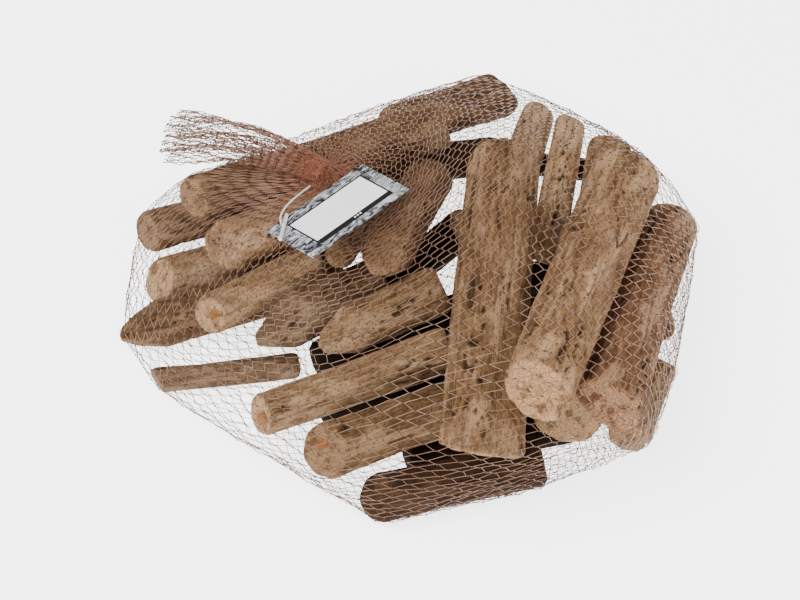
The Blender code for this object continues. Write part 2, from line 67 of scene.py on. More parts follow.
CELL = 1.15
HIDDEN_CELL = 2.6
CAP_SHARE = 1.25  # the rounded ends are looked at from this many half widths inside them
CAP_MOST = 0.48  # and from no further inside than this share of the stick's length
CAP_REACH = 0.6  # half widths that the rows over a rounded end take beyond its length
TIP_GAP = 0.02  # radians at each tip that one face closes
SECTION_WAVES = 7  # bulges around the stick that are kept, which leaves out its solid's edges
PROUD = 0.25  # how far the fine wood stands outside its solid
LOWEST = 0.5  # the wood's least height above the floor
CUT_FACING = (0.60, 0.80)  # how squarely wood faces along the stick, where bark turns into a cut end
TIP_RELIEF = 0.3  # the share of the relief that is left at a tip, where the rows meet
TIP_SPREAD = 4.0
FIRST_SEED = 100
SEED_STEP = 20

# Relief: the size of its features along the grain, across and deep. Their order sets their seeds.
RELIEF = {
    "broad": (34, 13, 13),
    "lumps": (11, 6, 6),
    "ridges": (22, 2.1, 2.1),
    "threads": (9, 1.15, 1.15),
    "grit": (1.3, 1.2, 1.2),
    "crack_lines": (48, 4.6, 4.6),
    "crack_places": (20, 9, 9),
    "holes": (3.4, 1.5, 1.5),
    "eaten_places": (30, 7, 7),
    "split_lines": (200, 5, 5),
    "split_places": (30, 8, 8),
}
BROAD_RISE = 0.028  # of the stick's radius
LUMP_RISE = 0.012  # of the stick's radius
RIDGE_RISE = 0.11
THREAD_RISE = 0.07
GRIT_RISE = 0.07
END_GRIT_RISE = 0.10
CRACK_DEPTH = 1.3
PIT_DEPTH = 1.3
SPLIT_DEPTH = 1.0
CRACK_WIDTH = 0.07  # how near to zero its noise a crack reaches
SPLIT_WIDTH = 0.04
DECAY_SPREAD = 0.3  # how much more of a decayed stick is cracked and eaten

# Where each noise begins to show, and where it shows in full
CRACKED = (0.12, 0.42)
EATEN = (0.24, 0.52)
HOLES = (0.34, 0.6)
SPLIT = (0.0, 0.4)
VALLEYS = (0.4, 0.9)

# How much fainter on a cut end, then how dark inside, as painted shade in cracks, pits, splits and grain
# valleys
CRACK_FADE = 0.5
PIT_FADE = 0.75
CRACK_DARK = 0.9
PIT_DARK = 0.9
SPLIT_DARK = 0.8
VALLEY_DARK = 0.22
DARKEST = 0.95
ROT_CORE = 0.55  # of the hole's radius, where it is fully rotten
NOISE_SIDE = 32  # points along each side of a noise's table

# Rotten cores at an end: which end, where across and deep, the hole's radius and its depth
ROTTEN = {
    "hollow_end_stick": (-1, 2.0, -1.0, 5.0, 4.5),
    "pale_end_stick": (-1, 1.0, -3.0, 3.6, 1.5),
    "knot_hole_stick": (1, 0.0, -4.0, 4.0, 4.0),
    "front_thick_stick": (-1, -4.0, 0.0, 3.5, 1.2),
}
DECAY = {"big_front_stick": 1.0, "right_long_stick": 0.7, "crossing_stick": 0.2}

# How bright a stick is beside the others of its colour, where it stands out: partly its own tone, partly
# painted shade on the sticks that lie in shadow and painted light on the lit ones
TONES_AND_PAINTED_LIGHT = {
    "crossing_stick": 1.5,
    "big_front_stick": 1.08,
    "right_long_stick": 1.15,
    "round_end_stick": 1.15,
    "hollow_end_stick": 0.95,
    "front_thick_stick": 0.85,
    "pointed_left_stick": 0.75,
    "wedge_stick": 0.95,
    "left_upper_stick": 0.8,
    "front_floor_stick": 0.75,
    "back_end_stick": 2.4,
    "right_short_stick": 2.0,
    "pale_split_stick": 1.5,
    "back_short_stick": 1.25,
    "knot_hole_stick": 1.2,
}
TONE_RANGE = (0.86, 1.12)  # of the other sticks
INSIDE_SHADE = 0.16  # painted shade: how bright the sticks inside the pile are beside the others

# Wood's colours: its body, its dark streaks and its light ones
WOOD = {
    "wood_pale": ((0.205, 0.115, 0.054), (0.068, 0.0336, 0.0144), (0.392, 0.252, 0.13664)),
    "wood_mid": ((0.150, 0.080, 0.036), (0.044, 0.0208, 0.0088), (0.308, 0.18816, 0.09856)),
    "wood_grey": ((0.130, 0.076, 0.040), (0.0384, 0.020, 0.0096), (0.252, 0.1624, 0.0952)),
    "wood_dark": ((0.038, 0.018, 0.008), (0.0112, 0.0052, 0.0024), (0.0952, 0.0504, 0.02464)),
    "wood_red": ((0.140, 0.066, 0.031), (0.048, 0.0152, 0.0064), (0.3192, 0.1904, 0.1064)),
}
SPECKLE = (0.04, 0.018, 0.008)
# painted shade colour for the cracks, pits, splits and grain valleys
CREVICE_SHADE = (0.01, 0.005, 0.0025)
ROT = (0.23, 0.07, 0.014)
END_BODY = 1.45  # how much brighter than on the sides the colours are on a cut end
END_DARK = 1.3
END_LIGHT = 1.2

# Noise in the wood's colour: features per mm along, across and deep, then detail, roughness, distortion
WOOD_NOISE = {
    "streaks": ((0.022, 0.42, 0.42), 6.0, 0.66, 0.5),
    "bands": ((0.012, 0.16, 0.16), 4.0, 0.6, 0.8),
    "patches": ((0.03, 0.08, 0.08), 5.0, 0.65, 0.0),
    "fine": ((0.13, 1.9, 1.9), 5.0, 0.7, 0.0),
    "mottle": ((0.22, 0.4, 0.4), 6.0, 0.75, 0.0),
    "spots": ((0.7, 1.3, 1.3), 3.0, 0.6, 0.0),
    "grain": ((0.8, 1.1, 1.1), 6.0, 0.75, 0.0),
    "blotch": ((0.12, 0.14, 0.14), 4.0, 0.65, 0.0),
}

# What is laid over the sides in turn: a noise, where it begins and is full, its share and its colour
SIDE_LAYERS = [
    ("patches", 0.48, 0.62, 1.0, "light"),
    ("patches", 0.46, 0.32, 0.9, "dark"),
    ("bands", 0.54, 0.68, 0.65, "dark"),
    ("streaks", 0.53, 0.68, 0.55, "dark"),
    ("streaks", 0.46, 0.34, 0.35, "light"),
    ("fine", 0.55, 0.68, 0.65, "speckle"),
    ("fine", 0.43, 0.33, 0.35, "light"),
    ("mottle", 0.50, 0.64, 0.55, "dark"),
    ("mottle", 0.48, 0.36, 0.4, "light"),
    ("spots", 0.56, 0.66, 0.8, "speckle"),
]

# The same for a cut end
END_LAYERS = [
    ("grain", 0.44, 0.60, 1.0, "end_light"),
    ("blotch", 0.50, 0.64, 0.75, "end_dark"),
    ("grain", 0.43, 0.35, 0.5, "speckle"),
]
FINE_BUMP = 0.8
GRAIN_BUMP = 0.5
WOOD_BUMP = 0.7  # mm

# Net
STRAND = 0.4
TAIL_STRAND = 0.5
KNOT = 0.92
KNOT_STRETCH = 2.0  # along the net, which makes the cells six-sided
COLUMNS = 96
ROWS = 76
NECK_ROWS = 4
TAIL_COLUMNS = 64
TAIL_ROWS = 20
NET_MARGIN = 1.6
NET_LIFT = 0.8  # from the wood to a strand's middle
NET_JITTER = 0.4
NECK = np.array([-40.0, 56.0, 86.0]) + VIEW_SHIFT
NECK_RADIUS = 5.5
TAIL_TIP = np.array([-118.0, 92.0, 72.0]) + VIEW_SHIFT
TAIL_WIDTH = 23.0
TAIL_THICKNESS = 11.0
TAIL_ARCH = 8.0
TAIL_FLARE = 0.7
NECK_SHARE = 0.16  # of the tail's length
NECK_FADE = 26.0
KNOT_DARK = 0.95
KNOT_HOLD = 0.45  # where a strand starts in its knot, as a share of the knot's length
STRAND_SPREAD = (0.8, 1.15)
KNOT_SPREAD = (0.85, 1.15)
RELAX_STEPS = 5  # few, so that the tight net still spans from tip to tip
RELAX_PULL = 0.5
WOOD_SEARCH = 12.0  # how far from a knot the wood is looked for
NET_FLOOR = 0.4  # a knot's least height above the floor
NET_PIECES = 3
NET_SEED = 5
RING_STEPS = 181
SEAM_STEPS = 90
SEAM_SKIP = 4
FOOT_GAP = 0.3  # rows left open at the bag's foot
FOLDS = ((0.22, 5, 4), (0.14, 9, -7))  # of the tail: how deep, how many, how they turn along it
NET_TINTS = ((0.20, 0.10, 0.06), (0.31, 0.18, 0.12))
KNOT_COLOUR = (0.05, 0.018, 0.009)
NECK_COLOUR = (0.21, 0.055, 0.018)

# Tag, and its printing as rectangles: the middle across and up, then half the width and half the height
TAG_TURN = math.radians(45.5)
TAG_DIP = math.radians(4)
TAG_LEAN = math.radians(12)
OUTLINE = (1.0, 0.5, 25.1, 10.7)
PANEL = (1.0, 0.5, 24.1, 9.7)
BAR = (1.6, -10.9, 24.6, 1.5)
DOTS = ((1.1, -10.6, 0.5, 0.5), (3.0, -10.6, 0.5, 0.5), (4.9, -10.6, 0.5, 0.5))
PRINT_EDGE = 0.08
INK = (0.004, 0.004, 0.004)
PAPER = (0.9, 0.9, 0.89)
DOT_WHITE = (0.8, 0.8, 0.8)
BORDER_PALE = (0.5, 0.51, 0.53)
BARK_PRINT = ((0.16, 0.45, 0.3), 6.0, 0.68, 1.2)
PATCH_PRINT = ((0.05, 0.09, 0.1), 3.0, 0.6)
BORDER = [(0.43, (0.006, 0.006, 0.008)), (0.50, (0.10, 0.10, 0.11)), (0.60, (0.50, 0.51, 0.54))]
WORN_EDGE = 0.12
PIN_TINTS = ((0.80, 0.80, 0.78), (0.88, 0.88, 0.87))

# Stage, in metres and watts
FLOOR_REACH = 6.0
FLOOR_GLOW = 3.2
SKY_GLOW = 0.8
LIGHTS = {"key": ((-0.9, -0.5, 1.7), 60.0), "fill": ((1.3, -0.9, 1.1), 15.0)}
LIGHT_SIZE = 1.2


def unit(vectors):
    return vectors / np.maximum(np.linalg.norm(vectors, axis=-1, keepdims=True), 1e-12)


def add_camera():
    data = bpy.data.cameras.new("camera")
    data.lens = LENS
    data.sensor_width = SENSOR
    camera = bpy.data.objects.new("camera", data)
    bpy.context.scene.collection.objects.link(camera)
    place = VIEW_CENTRE + AIM_RISE * UP + VIEW_DISTANCE * TOWARD
    turned = Matrix([RIGHT, UP, TOWARD]).transposed().to_4x4()
    camera.matrix_world = Matrix.Translation(Vector(place) * MM) @ turned
    bpy.context.scene.camera = camera


class Shader:
    """A material with a Principled shader, and short ways to add nodes to it."""

    def __init__(self, name):
        self.material = bpy.data.materials.new(name)
        self.material.use_nodes = True
        self.tree = self.material.node_tree
        self.bsdf = self.tree.nodes["Principled BSDF"]

    def node(self, kind, **values):
        made = self.tree.nodes.new(kind)
        for key, value in values.items():
            setattr(made, key, value)
        return made

    def link(self, source, target):
        self.tree.links.new(source, target)

    def set(self, **values):
        for key, value in values.items():
            self.bsdf.inputs[key.replace("_", " ")].default_value = value

    def place(self, scale):
        """The piece's own coordinates, in millimetres along the grain and across it, scaled."""
        own = self.node("ShaderNodeTexCoord")
        mapping = self.node("ShaderNodeMapping")
        mapping.inputs["Scale"].default_value = [s * 1000 for s in scale]
        self.link(own.outputs["Object"], mapping.inputs["Vector"])
        return mapping.outputs["Vector"]

    def noise(self, scale, detail=3.0, roughness=0.55, distortion=0.0):
        made = self.node("ShaderNodeTexNoise")
        made.inputs["Scale"].default_value = 1.0
        made.inputs["Detail"].default_value = detail
        made.inputs["Roughness"].default_value = roughness
        made.inputs["Distortion"].default_value = distortion
        self.link(self.place(scale), made.inputs["Vector"])
        return made.outputs["Fac"]

    def ramp(self, source, stops):
        made = self.node("ShaderNodeValToRGB")
        elements = made.color_ramp.elements
        while len(elements) < len(stops):
            elements.new(0.5)
        for element, (position, colour) in zip(elements, stops):
            element.position = position
            element.color = (*colour, 1.0)
        self.link(source, made.inputs["Fac"])
        return made.outputs["Color"]

    def steps(self, source, low, high, first=0.0, last=1.0):
        made = self.node("ShaderNodeMapRange", interpolation_type="SMOOTHSTEP")
        for key, value in (("From Min", low), ("From Max", high), ("To Min", first), ("To Max", last)):
            made.inputs[key].default_value = value
        self.link(source, made.inputs["Value"])
        return made.outputs["Result"]

    def mix(self, share, one, two, blend="MIX"):
        made = self.node("ShaderNodeMix", data_type="RGBA", blend_type=blend)
        for socket, value in ((made.inputs[0], share), (made.inputs[6], one), (made.inputs[7], two)):
            self.feed(value, socket)
        return made.outputs[2]

    def math(self, operation, one, two=0.0):
        made = self.node("ShaderNodeMath", operation=operation)
        for socket, value in ((made.inputs[0], one), (made.inputs[1], two)):
            self.feed(value, socket)
        return made.outputs[0]

    def feed(self, value, socket):
        if isinstance(value, bpy.types.NodeSocket):
            self.link(value, socket)
        elif isinstance(value, tuple):
            socket.default_value = (*value, 1.0)
        else:
            socket.default_value = value

    def attribute(self, name):
        return self.node("ShaderNodeAttribute", attribute_name=name).outputs["Fac"]

    def bump(self, heights, distance):
        made = self.node("ShaderNodeBump")
        made.inputs["Distance"].default_value = distance
        self.link(heights, made.inputs["Height"])
        self.link(made.outputs["Normal"], self.bsdf.inputs["Normal"])


def shaded(colour, brightness):
    return tuple(c * brightness for c in colour)


def layered(shader, noises, layers, colours, colour):
    """The colour with each layer laid over it in turn, where its noise calls for it."""
    for noise, begin, full, share, name in layers:
        colour = shader.mix(shader.steps(noises[noise], begin, full, 0.0, share), colour, colours[name])
    return colour


def wood(name, slot, brightness):
    """Weathered wood: streaks along the grain, stained patches, pits, and speckled end grain, with
    painted shade in the cracks, pits, splits and grain valleys.
    """
    body, dark, light = (shaded(colour, brightness) for colour in WOOD[slot])
    colours = {"dark": dark, "light": light, "speckle": shaded(SPECKLE, brightness)}
    colours["end_dark"] = shaded(dark, END_DARK)
    colours["end_light"] = shaded(light, END_LIGHT)
    shader = Shader(name)
    noises = {key: shader.noise(*values) for key, values in WOOD_NOISE.items()}
    sides = layered(shader, noises, SIDE_LAYERS, colours, body)
    ends = layered(shader, noises, END_LAYERS, colours, shaded(body, END_BODY))
    colour = shader.mix(shader.attribute("cut"), sides, ends)
    colour = shader.mix(shader.attribute("rot"), colour, ROT)
    # painted shade laid into the cracks, pits, splits and grain valleys
    colour = shader.mix(shader.attribute("crevice_shade"), colour, CREVICE_SHADE)
    shader.link(colour, shader.bsdf.inputs["Base Color"])
    fine = shader.math("MULTIPLY", noises["fine"], FINE_BUMP)
    grain = shader.math("MULTIPLY", noises["grain"], GRAIN_BUMP)
    shader.bump(shader.math("ADD", fine, grain), WOOD_BUMP * MM)
    shader.set(Roughness=0.92, Specular_IOR_Level=0.12)
    return shader.material


def net_plastic():
    shader = Shader("net_plastic")
    tint = shader.noise((0.03, 0.03, 0.03), 3.0)
    colour = shader.mix(shader.steps(tint, 0.35, 0.65), *NET_TINTS)
    colour = shader.mix(shader.attribute("knot"), colour, KNOT_COLOUR)
    colour = shader.mix(shader.attribute("dense"), colour, NECK_COLOUR)
    shader.link(colour, shader.bsdf.inputs["Base Color"])
    shader.set(Roughness=0.38, Specular_IOR_Level=0.5)
    return shader.material


def lattice_noise(points, sizes, seed):
    """Smooth noise from -1 to 1 at points, with features of these sizes along the three axes."""
    table = np.random.default_rng(seed).uniform(-1, 1, (NOISE_SIDE, NOISE_SIDE, NOISE_SIDE))
    at = points / np.array(sizes)
    base = np.floor(at).astype(int)
    part = at - base
    part = part * part * (3 - 2 * part)
    total = np.zeros(points.shape[:-1])
    for corner in np.ndindex(2, 2, 2):
        place = (base + corner) % NOISE_SIDE
        weight = np.prod(np.where(corner, part, 1 - part), axis=-1)
        total += weight * table[place[..., 0], place[..., 1], place[..., 2]]
    return total


def node_points(node):
    data = node.data
    points = np.empty(len(data.vertices) * 3)
    data.vertices.foreach_get("co", points)
    points = points.reshape(-1, 3) / MM
    data.calc_loop_triangles()
    triangles = np.empty(len(data.loop_triangles) * 3, int)
    data.loop_triangles.foreach_get("vertices", triangles)
    return points, triangles.reshape(-1, 3)


def low_pass(radii, waves):
    """The radii with only their broad waves around the stick kept."""
    spectrum = np.fft.rfft(radii, axis=1)
    spectrum[:, waves + 1 :] = 0
    return np.fft.irfft(spectrum, radii.shape[1], axis=1)


def blurred(values, times):
    """Each row blended with its neighbours along the stick."""
    for _ in range(times):
        padded = np.concatenate([values[:1], values, values[-1:]])
        values = 0.25 * padded[:-2] + 0.5 * padded[1:-1] + 0.25 * padded[2:]
    return values


def stick_form(node, cell):
    """The stick's axes and a fine grid of points over its surface, from end to end."""
    points, triangles = node_points(node)
    corners = np.unique(np.round(points, 2), axis=0)
    centre = (corners.min(0) + corners.max(0)) / 2
    axis = unit(np.linalg.svd(corners - corners.mean(0))[2][0])
    if axis @ (RIGHT + UP) < 0:
        axis = -axis
    side = unit(np.cross(axis, TOWARD))
    deep = np.cross(axis, side)
    along = (corners - centre) @ axis
    across = np.stack([(corners - centre) @ side, (corners - centre) @ deep], axis=1)
    middle = (across.min(0) + across.max(0)) / 2
    centre = centre + middle[0] * side + middle[1] * deep
    radius = np.linalg.norm(across - middle, axis=1).max()
    inset = min(CAP_MOST * np.ptp(along), CAP_SHARE * radius)
    columns = int(math.tau * radius / cell)
    cap_rows = int((inset + CAP_REACH * radius) / cell)
    low = along.min() + inset
    high = along.max() - inset
    straight = max(2, int((high - low) / cell))
    turns = np.arange(columns) * math.tau / columns
    around = np.cos(turns)[:, None] * side + np.sin(turns)[:, None] * deep
    tilts = np.linspace(TIP_GAP, math.pi / 2, cap_rows)
    lifts = [(low, -math.cos(a), math.sin(a)) for a in tilts]
    lifts += [(s, 0.0, 1.0) for s in np.linspace(low, high, straight)[1:-1]]
    lifts += [(high, math.cos(a), math.sin(a)) for a in tilts[::-1]]
    starts = np.array([centre + s * axis for s, _, _ in lifts])
    rays = np.array([a * axis + b * around for _, a, b in lifts])
    tree = BVHTree.FromPolygons([Vector(p) for p in points], triangles.tolist())
    radii = np.zeros(rays.shape[:2])
    for row, start in enumerate(starts):
        origin = Vector(start)
        for column in range(columns):
            radii[row, column] = tree.ray_cast(origin, Vector(rays[row, column]))[3] or radius
    radii = blurred(low_pass(radii, SECTION_WAVES), 1)
    return centre, axis, side, deep, starts, rays, radii, radius


def grid_faces(rows, columns):
    """Quads over the grid, and a fan of one face at each end."""
    index = np.arange(rows * columns).reshape(rows, columns)
    after = np.roll(index, -1, axis=1)
    quads = np.stack([index[:-1], after[:-1], after[1:], index[1:]], axis=-1).reshape(-1, 4)
    return quads.tolist() + [index[0][::-1].tolist(), index[-1].tolist()]


def grid_normals(points):
    along = np.gradient(points, axis=0)
    around = np.roll(points, -1, axis=1) - np.roll(points, 1, axis=1)
    return unit(np.cross(around, along))


def ramp_up(values, low, high):
    share = np.clip((values - low) / (high - low), 0, 1)
    return share * share * (3 - 2 * share)


def near_zero(noise, width):
    """1 along the thin lines where the noise crosses zero, and 0 away from them."""
    return np.clip(1 - np.abs(noise) / width, 0, 1)


def weathered(local, ends, radius, seed, decay):
    """How far the surface stands out or in at each point, and how much painted shade its cracks, pits,
    splits and grain valleys get.
    """
    noise = {key: lattice_noise(local, size, seed + n) for n, (key, size) in enumerate(RELIEF.items())}
    sides = 1 - ends
    worse = DECAY_SPREAD * decay
    out = radius * (BROAD_RISE * noise["broad"] + LUMP_RISE * noise["lumps"])
    out += RIDGE_RISE * noise["ridges"] * sides + THREAD_RISE * noise["threads"]
    out += (GRIT_RISE + END_GRIT_RISE * ends) * noise["grit"]
    cracked = ramp_up(noise["crack_places"] + worse, *CRACKED)
    cracks = near_zero(noise["crack_lines"], CRACK_WIDTH) * cracked * (1 - CRACK_FADE * ends)
    eaten = ramp_up(noise["eaten_places"] + worse, *EATEN)
    pits = ramp_up(noise["holes"], *HOLES) * eaten * (1 - PIT_FADE * ends)
    split = ramp_up(noise["split_places"], *SPLIT)
    splits = near_zero(noise["split_lines"], SPLIT_WIDTH) * split * ends
    out -= CRACK_DEPTH * cracks + PIT_DEPTH * pits + SPLIT_DEPTH * splits
    # painted shade: darkening inside cracks, pits and splits, and in the valleys between ridges
    crevice_shade = np.clip(CRACK_DARK * cracks + PIT_DARK * pits + SPLIT_DARK * splits, 0, DARKEST)
    crevice_shade = np.maximum(crevice_shade, VALLEY_DARK * ramp_up(-noise["ridges"], *VALLEYS) * sides)
    return out, crevice_shade


def add_mesh(name, points, faces, material, matrix=None):
    """A new mesh object, from points in millimetres in the piece's own axes."""
    mesh = bpy.data.meshes.new(name)
    mesh.from_pydata((np.asarray(points) * MM).tolist(), [], faces)
    mesh.shade_smooth()
    mesh.materials.append(material)
    piece = bpy.data.objects.new(name, mesh)
    bpy.context.scene.collection.objects.link(piece)
    if matrix is not None:
        piece.matrix_world = matrix
    return piece


def add_values(piece, name, values):
    layer = piece.data.attributes.new(name, "FLOAT", "POINT")
    layer.data.foreach_set("value", np.asarray(values, np.float32).ravel())


def rotten(name, local, ends):
    """How rotten the wood is at each point, and how far it has sunk there."""
    if name not in ROTTEN:
        return np.zeros(ends.shape), 0.0
    which_end, across, deep, reach, depth = ROTTEN[name]
    away = np.hypot(local[..., 1] - across, local[..., 2] - deep)
    rot = (1 - ramp_up(away, ROT_CORE * reach, reach)) * ends * (local[..., 0] * which_end > 0)
    return rot, depth * rot


def make_stick(name, slot, seed):
    inside = name.startswith("core_")
    cell = HIDDEN_CELL if inside else CELL
    centre, axis, side, deep, starts, rays, radii, radius = stick_form(nodes[name], cell)
    points = starts[:, None] + rays * radii[..., None]
    basis = np.stack([axis, side, deep])
    facing = np.abs(grid_normals(points) @ axis)
    ends = ramp_up(blurred(facing, 1), *CUT_FACING)
    local = (points - centre) @ basis.T
    out, crevice_shade = weathered(local, ends, radius, seed, DECAY.get(name, 0.0))
    from_axis = np.linalg.norm(local[..., 1:], axis=-1) / radius
    out = out * np.minimum(1, TIP_SPREAD * from_axis + TIP_RELIEF)
    rot, sunk = rotten(name, local, ends)
    points = points + rays * (out - sunk + PROUD)[..., None]
    points[..., 2] = np.maximum(points[..., 2], LOWEST)
    local = (points - centre) @ basis.T
    faces = grid_faces(*radii.shape)
    matrix = Matrix.Translation(Vector(centre) * MM) @ Matrix(basis.T.tolist()).to_4x4()
    # partly the stick's own tone, partly painted light and shade
    brightness = TONES_AND_PAINTED_LIGHT.get(name, np.random.default_rng(seed).uniform(*TONE_RANGE))
    # the sticks inside the pile are painted dark, as painted shade
    brightness = INSIDE_SHADE if inside else brightness
    finish = wood("wood_of_" + name, slot, brightness)
    piece = add_mesh("fine_" + name, local.reshape(-1, 3), faces, finish, matrix)
    add_values(piece, "cut", ends)
    # painted shade for the cracks, pits, splits and valleys, kept on the points
    add_values(piece, "crevice_shade", crevice_shade)
    add_values(piece, "rot", rot)
    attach(piece, "root")
    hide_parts(name)
    return points.reshape(-1, 3), faces


def convex_hull(points):
    shape = bmesh.new()
    for point in points:
        shape.verts.new(point)
    bmesh.ops.convex_hull(shape, input=shape.verts)
    corners = np.array([v.co for v in shape.verts if v.link_faces])
    tree = BVHTree.FromBMesh(shape)
    shape.free()
    return corners, tree


def rounded_hull(points):
    corners, _ = convex_hull(points)
    steps = np.array([s for s in np.ndindex(3, 3, 3) if s != (1, 1, 1)]) - 1.0
    margin = NET_MARGIN * unit(steps)
    return convex_hull((corners[:, None] + margin).reshape(-1, 3))[1]


def evenly_along(route, shares):
    lengths = np.linalg.norm(np.diff(route, axis=0), axis=1)
    along = np.concatenate([[0.0], np.cumsum(lengths)]) / lengths.sum()
    return np.stack([np.interp(shares, along, route[:, i]) for i in range(3)], axis=-1)


def column_shares(row, columns):
    return (np.arange(columns) + 0.5 * (row % 2)) / columns


def bag_rows(outline, centre, pole, first, second):
    """The bag's knots on the outline of the pile, evenly spaced from its foot to its neck."""

    def on_bag(polar, turn):
        around = math.cos(turn) * first + math.sin(turn) * second
        ray = Vector(math.cos(polar) * pole + math.sin(polar) * around)
        return np.array(outline.ray_cast(Vector(centre), ray)[0])

    turns = np.linspace(0, math.tau, RING_STEPS)
    polars = np.linspace(math.pi, 0, SEAM_STEPS)
    seams = np.array([[on_bag(polar, turn) for polar in polars] for turn in turns[:-1:SEAM_SKIP]])
    steps = np.linalg.norm(np.diff(seams, axis=1), axis=2).mean(0)
    risen = np.concatenate([[0.0], np.cumsum(steps)]) / steps.sum()
    rows = []
    for row in range(ROWS + 1):
        polar = np.interp((row + FOOT_GAP) / (ROWS + 1), risen, polars)
        ring = np.array([on_bag(polar, turn) for turn in turns])
        rows.append(evenly_along(ring, column_shares(row, COLUMNS)))
    return np.array(rows)


def tail_row(share, turns, first, second):
    """A row of knots this far along the tail, a crumpled tube that opens from the neck."""
    along = unit(TAIL_TIP - NECK)
    side = unit(np.cross(TOWARD, along))
    lift = np.cross(along, side)
    blend = min(1.0, share * 2)
    middle = NECK + (TAIL_TIP - NECK) * share
    middle = middle + np.array([0.0, 0.0, TAIL_ARCH * math.sin(math.pi * share)])
    around = np.cos(turns)[:, None] * first + np.sin(turns)[:, None] * second
    around = unit(around - blend * (around @ along)[:, None] * along)
    wide = NECK_RADIUS + (TAIL_WIDTH / 2 - NECK_RADIUS) * share**TAIL_FLARE
    deep = NECK_RADIUS + (TAIL_THICKNESS / 2 - NECK_RADIUS) * share
    reach = wide * (around @ side) ** 2 + deep * (around @ lift) ** 2
    reach = reach + NECK_RADIUS * (1 - blend) * (around @ along) ** 2
    fold = sum(deepness * np.sin(count * turns + twist * share) for deepness, count, twist in FOLDS)
    return middle + (reach * (1 + fold * min(1.0, 0.3 + share)))[:, None] * around


def strand_ends(rows, columns):
    """The knots at the lower and the upper end of every strand, by row and column."""
    row, column = np.meshgrid(np.arange(rows - 1), np.arange(columns), indexing="ij")
    other = (column + np.where(row % 2, 1, -1)) % columns
    lower = row * columns + column
    straight = (row + 1) * columns + column
    crossed = (row + 1) * columns + other
    one = np.concatenate([lower.ravel(), lower.ravel()])
    two = np.concatenate([straight.ravel(), crossed.ravel()])
    return one, two


def relaxed(knots, held, wood_tree):
    """The net pulled tight over the sticks: every knot drawn to its neighbours, and kept off the wood."""
    one, two = strand_ends(len(knots) // COLUMNS, COLUMNS)
    count = np.bincount(one, minlength=len(knots)) + np.bincount(two, minlength=len(knots))
    for _ in range(RELAX_STEPS):
        total = np.zeros_like(knots)
        for axis in range(3):
            total[:, axis] = np.bincount(one, knots[two, axis], len(knots))
            total[:, axis] += np.bincount(two, knots[one, axis], len(knots))
        moved = knots + RELAX_PULL * (total / count[:, None] - knots)
        knots = np.where(held[:, None], knots, moved)
        for index in np.flatnonzero(~held):
            found, normal, _, _ = wood_tree.find_nearest(Vector(knots[index]), WOOD_SEARCH)
            if found is None:
                continue
            height = (Vector(knots[index]) - found).dot(normal)
            if height < NET_LIFT:
                knots[index] = found + NET_LIFT * normal
        knots[:, 2] = np.maximum(knots[:, 2], NET_FLOOR)
    return knots


def strand_mesh(starts, stops, thickness):
    """Thin three-sided strands, open at both ends, which lie inside the knots."""
    along = unit(stops - starts)
    side = unit(np.cross(along, TOWARD))
    lift = np.cross(along, side)
    turns = np.arange(3) * math.tau / 3
    ring = np.cos(turns)[:, None, None] * side + np.sin(turns)[:, None, None] * lift
    ring = ring * (thickness / 2)[None, :, None]
    points = np.stack([*(starts + ring), *(stops + ring)], axis=1).reshape(-1, 3)
    first = np.arange(len(starts))[:, None] * 6
    sides = [first + [i, (i + 1) % 3, 3 + (i + 1) % 3, 3 + i] for i in range(3)]
    return points, np.stack(sides, axis=1).reshape(-1, 4)


def knot_mesh(knots, rise, sizes):
    """A small octahedron for each knot, drawn out along the net."""
    side = unit(np.cross(rise, TOWARD))
    lift = np.cross(rise, side)
    axes = np.stack([side, lift, KNOT_STRETCH * rise], axis=1) * sizes[:, None, None] / 2
    points = (knots[:, None] + np.concatenate([axes, -axes], axis=1)).reshape(-1, 3)
    faces = []
    for x, y, z in np.ndindex(2, 2, 2):
        face = [3 * x, 1 + 3 * y, 2 + 3 * z]
        faces.append(face if (x + y + z) % 2 == 0 else face[::-1])
    first = np.arange(len(knots))[:, None, None] * 6
    return points, (first + np.array(faces)).reshape(-1, 3)


def near_neck(points):
    return np.exp(-np.linalg.norm(points - NECK, axis=1) / NECK_FADE)


def add_net_piece(name, knots, columns, band, strand, finish, rng):
    """The strands and knots of a band of rows of a net, as one piece."""
    one, two = strand_ends(len(knots) // columns, columns)
    chosen = (one // columns >= band[0]) & (one // columns <= band[-1])
    a, b = one[chosen], two[chosen]
    every = np.arange(len(knots))
    after = np.minimum(every + 2 * columns, len(knots) - columns + every % columns)
    before = np.maximum(every - 2 * columns, every % columns)
    rise = unit(knots[after] - knots[before])
    half = KNOT_HOLD * KNOT * KNOT_STRETCH * rise
    thickness = strand * rng.uniform(*STRAND_SPREAD, len(a))
    strand_points, strand_faces = strand_mesh(knots[a] + half[a], knots[b] - half[b], thickness)
    own = np.arange(band[0] * columns, (band[-1] + 1) * columns)
    sizes = KNOT * rng.uniform(*KNOT_SPREAD, len(own))
    knot_points, knot_faces = knot_mesh(knots[own], rise[own], sizes)
    points = np.concatenate([strand_points, knot_points])
    faces = strand_faces.tolist() + (knot_faces + len(strand_points)).tolist()
    piece = add_mesh(name, points, faces, finish)
    is_knot = np.concatenate([np.zeros(len(strand_points)), np.ones(len(knot_points))])
    add_values(piece, "knot", KNOT_DARK * is_knot)
    add_values(piece, "dense", near_neck(points))
    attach(piece, "root")
    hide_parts("net_bag")


def scattered(knots, rng):
    """The knots a little out of place, and none of them in the floor."""
    knots = knots + rng.normal(0, NET_JITTER, knots.shape)
    knots[:, 2] = np.maximum(knots[:, 2], KNOT)
    return knots


